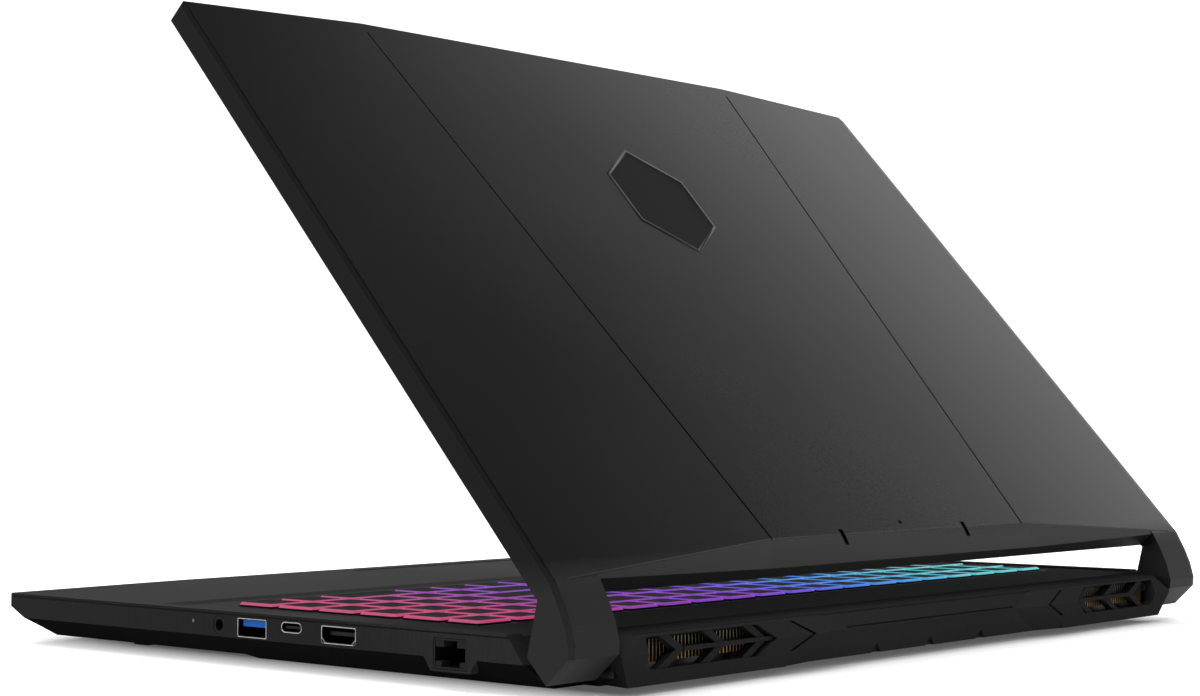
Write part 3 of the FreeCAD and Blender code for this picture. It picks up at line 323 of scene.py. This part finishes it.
# %% Ring helpers
def rounded(width, depth, radius, steps=4):
    """Outline of a rounded rectangle: corner centre + radius * (cos, sin), four quarter turns.

    width and depth may be arrays; the result has one more axis for the points, then x and y.
    """
    width = np.asarray(width, float)[..., None]
    depth = np.asarray(depth, float)[..., None]
    turn = np.concatenate([np.linspace(k, k + 1, steps) for k in range(4)]) * (math.pi / 2)
    sx = np.repeat([1, -1, -1, 1], steps)
    sy = np.repeat([1, 1, -1, -1], steps)
    x = sx * (width / 2 - radius) + radius * np.cos(turn)
    y = sy * (depth / 2 - radius) + radius * np.sin(turn)
    return np.stack([x, y], -1)


def stack_mesh(name, rings, finishes, bands=None):
    """Mesh of many stacks: rings has axes (stack, ring, point, xyz); caps close both ends.

    Quad (i, j) joins points j, j+1 of ring i to ring i+1; bands gives a material index per ring gap.
    """
    stacks, levels, points, _ = rings.shape
    number = np.arange(stacks * levels * points).reshape(stacks, levels, points)
    right = np.roll(number, -1, axis=2)
    quads = np.stack([number[:, :-1], right[:, :-1], right[:, 1:], number[:, 1:]], -1)
    faces = quads.reshape(-1, 4).tolist()
    faces += number[:, 0, ::-1].tolist() + number[:, -1].tolist()
    mesh = bpy.data.meshes.new(name)
    mesh.from_pydata(rings.reshape(-1, 3), [], faces)
    for finish in finishes:
        mesh.materials.append(finish)
    if bands is not None:
        sides = np.tile(np.repeat(bands, points), stacks)
        part = np.concatenate([sides, np.full(stacks, bands[0]), np.full(stacks, bands[-1])])
        mesh.polygons.foreach_set("material_index", part.astype(np.int32))
    mesh.update()
    made = bpy.data.objects.new(name, mesh)
    bpy.context.scene.collection.objects.link(made)
    return made


print("ring helpers ready")

# %% [markdown]
# ## Keycaps
# A lit keycap is clear plastic painted black on top: the light leaves where the paint is
# missing. Each cap is a stack of rounded rings: a straight skirt, a sloping shoulder that
# glows, and a shallow painted dish. The glow runs through the rainbow from right to left, so
# its colour is a ramp on the x coordinate.

# %% Keyboard glow and cap paint
KEY_HALF = 0.160
GLOW = [(0.00, (0.11, 0.62, 0.66)), (0.18, (0.10, 0.58, 0.68)), (0.28, (0.06, 0.36, 0.80)),
        (0.40, (0.05, 0.22, 0.80)), (0.50, (0.14, 0.09, 0.72)), (0.58, (0.24, 0.05, 0.60)),
        (0.74, (0.28, 0.045, 0.50)), (0.82, (0.42, 0.05, 0.34)), (0.90, (0.56, 0.05, 0.20)),
        (1.00, (0.58, 0.05, 0.18))]


def glow_colour(wire, x):
    """Ramp over the width: 0 at the left end of the keyboard, 1 at the right end."""
    return wire.node("ShaderNodeValToRGB", {"stops": GLOW}, {0: x * (0.5 / KEY_HALF) + 0.5})


def lit_plastic(name, strength):
    material, wire, shader = new_finish(name)
    at = place(wire)
    x, y, z = axes(wire, at)
    colour = glow_colour(wire, x)
    cloud = noise(wire, at, 260.0, 2.0)
    feed(wire, shader, Base_Color=cloud.mix((0.02, 0.02, 0.02, 1.0), (0.05, 0.05, 0.05, 1.0)),
         Roughness=0.5, Emission_Color=colour, Emission_Strength=strength)
    return material


lit_skirt = lit_plastic("lit_skirt", 0.86)
lit_plate = lit_plastic("lit_plate", 0.7)
cap_paint = moulded("cap_paint", 0.006, 0.66, 0.10, 0.0, 0.02, 2200.0)
wear("keyboard_plate", lit_plate)
print("glow stops", len(GLOW))

# %% Where each cap sits
UNIT_X, UNIT_Y, LAST_ROW, KEY_GAP = 0.01684, 0.0184, 0.0156, 0.0024
KEY_FRONT = FRONT + 0.0996
KEY_TOP, KEY_LOW = 0.0180, 0.0157
ROWS = [([1.25, 1, 1.25, 1.25, 5, 1.25, 1, 1, 1, 1], [2, 1, 1]),
        ([2.25] + [1] * 10 + [1.75, 1], [1] * 4),
        ([1.75] + [1] * 11 + [2.25], [1] * 4),
        ([1.5] + [1] * 12 + [1.5], [1] * 4),
        ([1] * 13 + [2], [1] * 4),
        ([1] * 15, [1] * 4)]


def cap_group(row, column, pad):
    if row == 5:
        return "power_key" if column == 18 else "function_keys"
    if pad:
        return "number_pad_keys"
    if (row == 0 and column >= 7) or (row == 1 and column == 12):
        return "arrow_keys"
    if row == 0:
        return "space_bar" if column == 4 else "modifier_keys"
    if row == 2 and column == 12:
        return "enter_key"
    return ["", "lower_letter_keys", "home_letter_keys", "upper_letter_keys", "number_keys"][row]


caps = {}
for row, (main, pad) in enumerate(ROWS):
    deep = (UNIT_Y if row < 5 else LAST_ROW) - KEY_GAP
    ends = np.cumsum([0.0] + main + pad) * UNIT_X - KEY_HALF
    for column, (left, right) in enumerate(zip(ends, ends[1:])):
        middle = ((left + right) / 2, KEY_FRONT + row * UNIT_Y + deep / 2)
        caps.setdefault(cap_group(row, column, column >= len(main)), []).append(
            (*middle, right - left - KEY_GAP, deep))
print("caps", sum(len(group) for group in caps.values()), "in", len(caps), "groups")

# %% The caps themselves
CAP_CORNER = 0.0012
CAP_BANDS = [1, 1, 0, 0, 0, 1, 1, 1]
LEVELS = [(0.0, KEY_LOW), (0.0, KEY_TOP - 0.00095), (0.00006, KEY_TOP - 0.00080),
          (0.00040, KEY_TOP - 0.00034), (0.00066, KEY_TOP - 0.00010), (0.00088, KEY_TOP),
          (0.00104, KEY_TOP), (0.0026, KEY_TOP - 0.00010), (0.0050, KEY_TOP - 0.00014)]


def make_caps(group, places):
    """Stacked rounded rectangles: each level has an inset and a height, for every cap at once."""
    at = np.array(places)
    inset = np.array([level[0] for level in LEVELS])
    height = np.array([level[1] for level in LEVELS])
    outline = rounded(at[:, 2:3] - 2 * inset, at[:, 3:4] - 2 * inset, CAP_CORNER)
    outline = outline + at[:, None, None, :2]
    z = np.broadcast_to(height[None, :, None, None], outline.shape[:3] + (1,))
    rings = np.concatenate([outline, z], -1)
    made = stack_mesh("caps_" + group, rings, [lit_skirt, cap_paint], CAP_BANDS)
    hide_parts(group)
    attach(made, group)
    return made


cap_objects = {group: make_caps(group, places) for group, places in caps.items()}
print("cap faces", sum(len(made.data.polygons) for made in cap_objects.values()))

# %% [markdown]
# ## Cooling fins
# Behind each exhaust window stands a comb of thin metal sheets soldered to a heat pipe. From
# outside their edges read as fine lines that go warm towards the foot. Each fin is a two-ring
# stack, and all fins of a window are one array.

# %% Fin stacks
def fin_finish():
    material, wire, shader = new_finish("fin_metal")
    at = place(wire)
    x, y, z = axes(wire, at)
    low, high = 0.0082, 0.0112
    warm = (z - low) * (1 / (high - low))
    stops = [(0.0, (0.22, 0.12, 0.028)), (0.45, (0.13, 0.086, 0.034)), (1.0, (0.085, 0.070, 0.045))]
    colour = wire.node("ShaderNodeValToRGB", {"stops": stops}, {0: warm})
    lines = noise(wire, at, 700.0, 2.0, (1.0, 1.0, 0.1))
    feed(wire, shader, Base_Color=colour, Metallic=0.85, Roughness=lines * 0.2 + 0.28)
    return material


fin_metal = fin_finish()
FIN_PITCH, FIN_SHEET, FIN_CORNER = 0.0016, 0.00045, 0.00006


def make_fins(node, side):
    """Thin plates at a steady pitch: x = start + k * pitch, each a box of two rings."""
    low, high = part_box(node)
    start = np.arange(low.x + 0.0003, high.x - 0.0002, FIN_PITCH)
    corner = rounded(FIN_SHEET, high.y - low.y, FIN_CORNER, 2)
    x = start[:, None, None] + corner[:, 0]
    y = (low.y + high.y) / 2 + corner[:, 1]
    z = np.array([low.z, high.z])[None, :, None]
    rings = np.stack(np.broadcast_arrays(x, y, z), -1)
    made = stack_mesh("fins_" + side, rings, [fin_metal])
    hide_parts(node)
    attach(made, "base")
    return made


fin_objects = [make_fins("fin_stack_right", "right"), make_fins("fin_stack_left", "left")]
print("fins", [len(made.data.polygons) // 10 for made in fin_objects])

# %% [markdown]
# ## Rims round the sockets
# Each metal socket shows a bright folded edge round its mouth. A rim is a small round bead
# carried along the outline of the opening: the path gives the place, and the section turns
# in the plane of the outward direction and the wall's normal.

# %% Socket rims
def bead_rings(path, out, bead, turns=8):
    """Tube along a closed path in the (y, z) plane: point = path + bead * (out * cos, x * sin)."""
    angle = np.linspace(0, 2 * math.pi, turns, endpoint=False)
    ring = path[None, :, :] + bead * np.cos(angle)[:, None, None] * out[None, :, :]
    rise = np.broadcast_to(bead * np.sin(angle)[:, None], ring.shape[:2])
    return ring, rise


def tube_mesh(name, points, flip, finish, body):
    """Closed tube: points has axes (turn, place along the path, xyz), both running round."""
    turns, count = points.shape[:2]
    number = np.arange(turns * count).reshape(turns, count)
    up, along = np.roll(number, -1, 0), np.roll(number, -1, 1)
    quads = np.stack([number, along, np.roll(up, -1, 1), up], -1).reshape(-1, 4)
    mesh = bpy.data.meshes.new(name)
    mesh.from_pydata(points.reshape(-1, 3), [], (quads[:, ::-1] if flip else quads).tolist())
    mesh.materials.append(finish)
    mesh.polygons.foreach_set("use_smooth", np.ones(len(mesh.polygons), bool))
    made = bpy.data.objects.new(name, mesh)
    bpy.context.scene.collection.objects.link(made)
    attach(made, body)
    return made


BEAD, SINK = 0.00013, 0.00012


def make_rim(name, y, z, width, height, radius, side, finish):
    """Bead round a rounded opening in a side wall; side is +1 on the right and -1 on the left."""
    path = rounded(width, height, radius, 5)
    out = np.stack([np.gradient(np.r_[path[-1:, 1], path[:, 1], path[:1, 1]])[1:-1],
                    -np.gradient(np.r_[path[-1:, 0], path[:, 0], path[:1, 0]])[1:-1]], -1)
    out = out / np.maximum(np.linalg.norm(out, axis=1, keepdims=True), 1e-12)
    ring, rise = bead_rings(path, out, BEAD)
    x = side * (HALF - SINK + rise)
    points = np.stack([x, y + ring[..., 0], z + ring[..., 1]], -1)
    return tube_mesh(name, points, side < 0, finish, "base")


RIMS = [("rim_usb_a_right", 0.1306, 0.0129, 0.0129, 0.0055, 0.0004, 1, plated),
        ("rim_usb_c", 0.1483, 0.01415, 0.0088, 0.0030, 0.00149, 1, plated),
        ("rim_hdmi", 0.1686, 0.01305, 0.0144, 0.0050, 0.0007, 1, plated),
        ("rim_usb_a_left_rear", 0.1760, 0.0129, 0.0129, 0.0055, 0.0004, -1, plated),
        ("rim_usb_a_left_front", 0.1560, 0.0129, 0.0129, 0.0055, 0.0004, -1, plated),
        ("rim_audio", 0.1155, 0.0131, 0.0046, 0.0046, 0.00229, 1, socket_black)]
rims = [make_rim(name, FRONT + y, *rest) for name, y, *rest in RIMS]
print("rims", len(rims))

# %% [markdown]
# ## Steps in the network socket
# The mouth of a network socket isn't a plain rectangle: a narrow slot for the latch stands on
# the wide part, and the foot is narrower again. Four small blocks in the corners leave that
# shape open.

# %% Corner blocks of the network socket
def make_blocks(name, low, high, finish):
    """Boxes as two rings of four corners: x from low to high, turned anticlockwise."""
    low, high = np.asarray(low), np.asarray(high)
    x = np.stack([low[:, 0], high[:, 0], high[:, 0], low[:, 0]], 1)
    y = np.stack([low[:, 1], low[:, 1], high[:, 1], high[:, 1]], 1)
    rings = [np.stack([x, y, np.repeat(z[:, None], 4, 1)], -1) for z in (low[:, 2], high[:, 2])]
    return stack_mesh(name, np.stack(rings, 1), [finish])


NET_Y, NET_Z, NET_WIDE, NET_TALL = FRONT + 0.2137, 0.01075, 0.0117, 0.0074
NET_DEEP, NET_FACE = HALF - 0.004, HALF - 0.0003
steps = [(-1, 1, 0.0033, 0.0019), (1, 1, 0.0033, 0.0019),
         (-1, -1, 0.0023, 0.0015), (1, -1, 0.0023, 0.0015)]
corner = np.array([(NET_DEEP, NET_Y + a * NET_WIDE / 2, NET_Z + b * NET_TALL / 2) for a, b, _, _ in steps])
inner = np.array([(NET_FACE, NET_Y + a * (NET_WIDE / 2 - w), NET_Z + b * (NET_TALL / 2 - h))
                  for a, b, w, h in steps])
low, high = np.minimum(corner, inner), np.maximum(corner, inner)
network_steps = make_blocks("network_steps", low, high, vent_plastic)
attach(network_steps, "base")
print("network blocks", len(steps))

# %% [markdown]
# ## Badge, touchpad and small lights
# The inlay on the lid is a plain satin plate with a fine woven look and a thin rim, and two
# strips of painted shade fill the grooves that run up the lid beside it. The touchpad is smooth
# glass-filled plastic, and the status light is a clear pin with a lit dot.

# %% Inlay, touchpad and light finishes
def woven(name):
    """Fine weave: product of two sine waves across the plate, as height and as shade."""
    material, wire, shader = new_finish(name)
    at = place(wire)
    x, y, z = axes(wire, at)
    across = (x * 4200.0).math("SINE")
    along = (z * 5600.0).math("SINE")
    weave = across * along * 0.5 + 0.5
    feed(wire, shader, Base_Color=weave.mix(grey(0.004), grey(0.014)), Roughness=weave * 0.1 + 0.55,
         Specular_IOR_Level=0.04,
         Normal=wire.node("ShaderNodeBump", (), {"Strength": 0.2, "Distance": 0.0002, "Height": weave}))
    return material


wear("lid_badge", woven("inlay_weave"))
LEAN = math.radians(48.1)
HINGE_Y, HINGE_Z, LID_FACE = 0.1236, 0.0130, 0.0122


def on_lid(x, s, w):
    """Lid coordinates to the frame: s runs up the lid from the hinge axis, w stands off its plane."""
    y = HINGE_Y - s * math.cos(LEAN) + w * math.sin(LEAN)
    z = HINGE_Z + s * math.sin(LEAN) + w * math.cos(LEAN)
    return np.stack(np.broadcast_arrays(x, y, z), -1)


def make_inlay_rim(wide=0.0205, tall=0.0255, band=0.0008, stand=0.00022):
    """Flat band along the six-sided outline: four section corners, each the outline grown and lifted."""
    px = np.array([-1, 0, 1, 1, 0, -1]) * wide
    ps = np.array([0.45, 1, 0.45, -0.45, -1, -0.45]) * tall
    grow = 1 + np.array([-band, -band * 0.6, band * 0.6, band])[:, None] / wide
    lift = np.array([-1.0, 1.0, 1.0, -1.0])[:, None] * stand
    return on_lid(px * grow, 0.1785 + ps * grow, LID_FACE + lift)


rim_satin = moulded("rim_satin", 0.012, 0.4, 0.05, 0.0, 0.2)
inlay_rim = tube_mesh("inlay_rim", make_inlay_rim(), True, rim_satin, "lid")


def make_groove_shade():
    """Painted shade in the two long grooves: a dark wedge section carried from the lid's foot to its top.
    """
    foot, top = np.array([0.07365, 0.0245]), np.array([0.0997, 0.2495])
    side = np.array([-0.05, 0.05, 0.32, -0.32]) * 0.001
    deep = np.array([0.36, 0.36, 0.06, 0.06]) * 0.001
    sign = np.array([1.0, -1.0])[:, None, None]
    ends = np.stack([foot, top])[None, :, None, :]
    return on_lid(sign * ends[..., 0] + side, ends[..., 1] + side * 0, LID_FACE - deep)


# A near-black strip in each groove is painted shade.
groove_painted_shade = moulded("groove_painted_shade", 0.0012, 0.9, 0.05, 0.0, 0.0)
groove_shade = stack_mesh("lid_groove_shade", make_groove_shade(), [groove_painted_shade])
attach(groove_shade, "lid")
wear("touchpad", moulded("pad_satin", 0.0095, 0.58, 0.03, 0.0, 0.035, 2600.0))


def clear_pin(name, node, dot=0.0003):
    """Dark clear pin with a lit dot: |y - middle| and |z - middle| below dot."""
    material, wire, shader = new_finish(name)
    at = place(wire)
    x, y, z = axes(wire, at)
    low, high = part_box(node)
    lit = (abs(y - (low.y + high.y) / 2) < dot) * (abs(z - (low.z + high.z) / 2) < dot)
    cloud = noise(wire, at, 900.0, 2.0)
    feed(wire, shader, Base_Color=cloud.mix(grey(0.01), grey(0.03)), Roughness=cloud * 0.1 + 0.25,
         Emission_Color=lit.mix((0.0, 0.0, 0.0, 1.0), (0.9, 0.95, 1.0, 1.0)), Emission_Strength=8.0)
    return material


wear("status_light", clear_pin("light_pin", "status_light"))
print("seam faces", len(groove_shade.data.polygons), "rim faces", len(inlay_rim.data.polygons))

# %% [markdown]
# ## Studio
# The floor is white and runs up into a wall behind the machine. To the camera it adds a
# little light of its own, so it comes out white, while the soft shadow under the machine
# stays; near the machine that own light fades, which paints a shadow round the footprint. One
# large lamp hangs overhead and one stands far to the side, turned so that only the far half of
# the lid mirrors it. Two weaker ones light the side wall and the rear.

# %% Floor and backdrop
YAW = math.radians(49.259)


def sweep(width=60.0, front=-4.0, back=30.0, high=2.2, bend=0.9):
    """Profile carried along a line: flat floor, a quarter circle of radius bend, then a wall."""
    turn = np.linspace(0, math.pi / 2, 16)
    run = np.r_[back, front + bend, front + bend - bend * np.sin(turn[1:]), front]
    rise = np.r_[0.0, 0.0, bend - bend * np.cos(turn[1:]), high]
    u = np.linspace(-width / 2, width / 2, 2)
    flat = np.stack(np.broadcast_arrays(u[:, None], run[None, :], rise[None, :]), -1)
    spin = np.array([[math.cos(YAW), math.sin(YAW), 0], [-math.sin(YAW), math.cos(YAW), 0], [0, 0, 1]])
    return flat @ spin.T


points = sweep()
number = np.arange(points.shape[0] * points.shape[1]).reshape(points.shape[:2])
quads = np.stack([number[:-1, :-1], number[:-1, 1:], number[1:, 1:], number[1:, :-1]], -1).reshape(-1, 4)
floor_mesh = bpy.data.meshes.new("studio_floor")
floor_mesh.from_pydata(points.reshape(-1, 3), [], quads[:, ::-1].tolist())
floor_mesh.polygons.foreach_set("use_smooth", np.ones(len(floor_mesh.polygons), bool))
floor = bpy.data.objects.new("studio_floor", floor_mesh)
bpy.context.scene.collection.objects.link(floor)

material, wire, shader = new_finish("studio_white")
path = wire.node("ShaderNodeLightPath", out="Is Camera Ray")
glossy = wire.node("ShaderNodeLightPath", out="Is Glossy Ray")
through = wire.node("ShaderNodeLightPath", out="Is Transmission Ray")
seen = path + glossy + through
at = place(wire)
x, y, z = axes(wire, at)
# The floor's own light fades towards the machine's footprint: a painted shadow round the machine, on top
# of the real one.
painted_shadow_reach = ((abs(x) - 0.15) * (1 / 0.03)).math("MAXIMUM", (abs(y) - 0.128) * (1 / 0.05))
share = painted_shadow_reach.math("MAXIMUM", 0.0).math("MINIMUM", 1.0)
speck = noise(wire, at, 60.0, 2.0) * 0.02
feed(wire, shader, Base_Color=speck.mix((0.84, 0.84, 0.84, 1.0), (0.5, 0.5, 0.5, 1.0)), Roughness=0.9,
     Specular_IOR_Level=0.0, Emission_Strength=0.9,
     Emission_Color=(seen * (share * 0.9 + 0.1)).mix((0.0, 0.0, 0.0, 1.0), (1.0, 1.0, 1.0, 1.0)))
floor_mesh.materials.append(material)
print("floor points", points.shape)

# %% Lamps and sky
def lamp(name, at, aim, wide, tall, power, along=(1.0, 0.0, 0.0)):
    """Soft lamp facing aim, its wide side turned to run along the given direction."""
    data = bpy.data.lights.new(name, "AREA")
    data.shape = "RECTANGLE"
    data.size = wide
    data.size_y = tall
    data.energy = power
    back = (Vector(at) - Vector(aim)).normalized()
    side = (Vector(along) - Vector(along).dot(back) * back).normalized()
    turn = Matrix((side, back.cross(side), back)).transposed()
    made = bpy.data.objects.new(name, data)
    made.matrix_world = Matrix.Translation(at) @ turn.to_4x4()
    bpy.context.scene.collection.objects.link(made)


lamp("overhead", (0.95, 0.1, 1.8), (0.0, 0.0, 0.0), 1.6, 1.6, 32.0)
lamp("far_side", (-1.5, -0.235, 0.92), (0.0, 0.0, 0.12), 1.3, 0.6, 4.2, (0.0, -0.646, 0.763))
lamp("near_side", (1.2, -1.0, 0.35), (0.1, 0.05, 0.03), 0.9, 0.7, 6.0, (0.7, 0.7, 0.0))
lamp("rear_side", (-1.0, 1.4, 0.55), (0.0, 0.1, 0.03), 1.9, 1.2, 12.0, (0.7, 0.7, 0.0))
world = bpy.data.worlds.new("studio_sky")
world.use_nodes = True
bpy.context.scene.world = world
sky = world.node_tree.nodes["Background"]
sky.inputs["Color"].default_value = (0.60, 0.60, 0.60, 1.0)
sky.inputs["Strength"].default_value = 0.32
bpy.context.scene.view_settings.view_transform = "Standard"
print("lamps", len(bpy.data.lights))

# %% [markdown]
# ## Camera
# The view is low, from behind the right rear corner, and was fitted to the straight edges of
# the lid and the base. The long lens keeps the far side nearly as large as the near one.

# %% The camera
PITCH = math.radians(1.867)
view = Vector((-math.sin(YAW) * math.cos(PITCH), -math.cos(YAW) * math.cos(PITCH), math.sin(PITCH)))
data = bpy.data.cameras.new("camera")
data.sensor_width = 36.0
data.lens = 67.77
data.clip_end = 50.0
camera = bpy.data.objects.new("camera", data)
camera.location = (0.62603, 0.52349, 0.07483)
camera.rotation_euler = view.to_track_quat("-Z", "Y").to_euler()
bpy.context.scene.collection.objects.link(camera)
bpy.context.scene.camera = camera
print("camera at", tuple(camera.location))
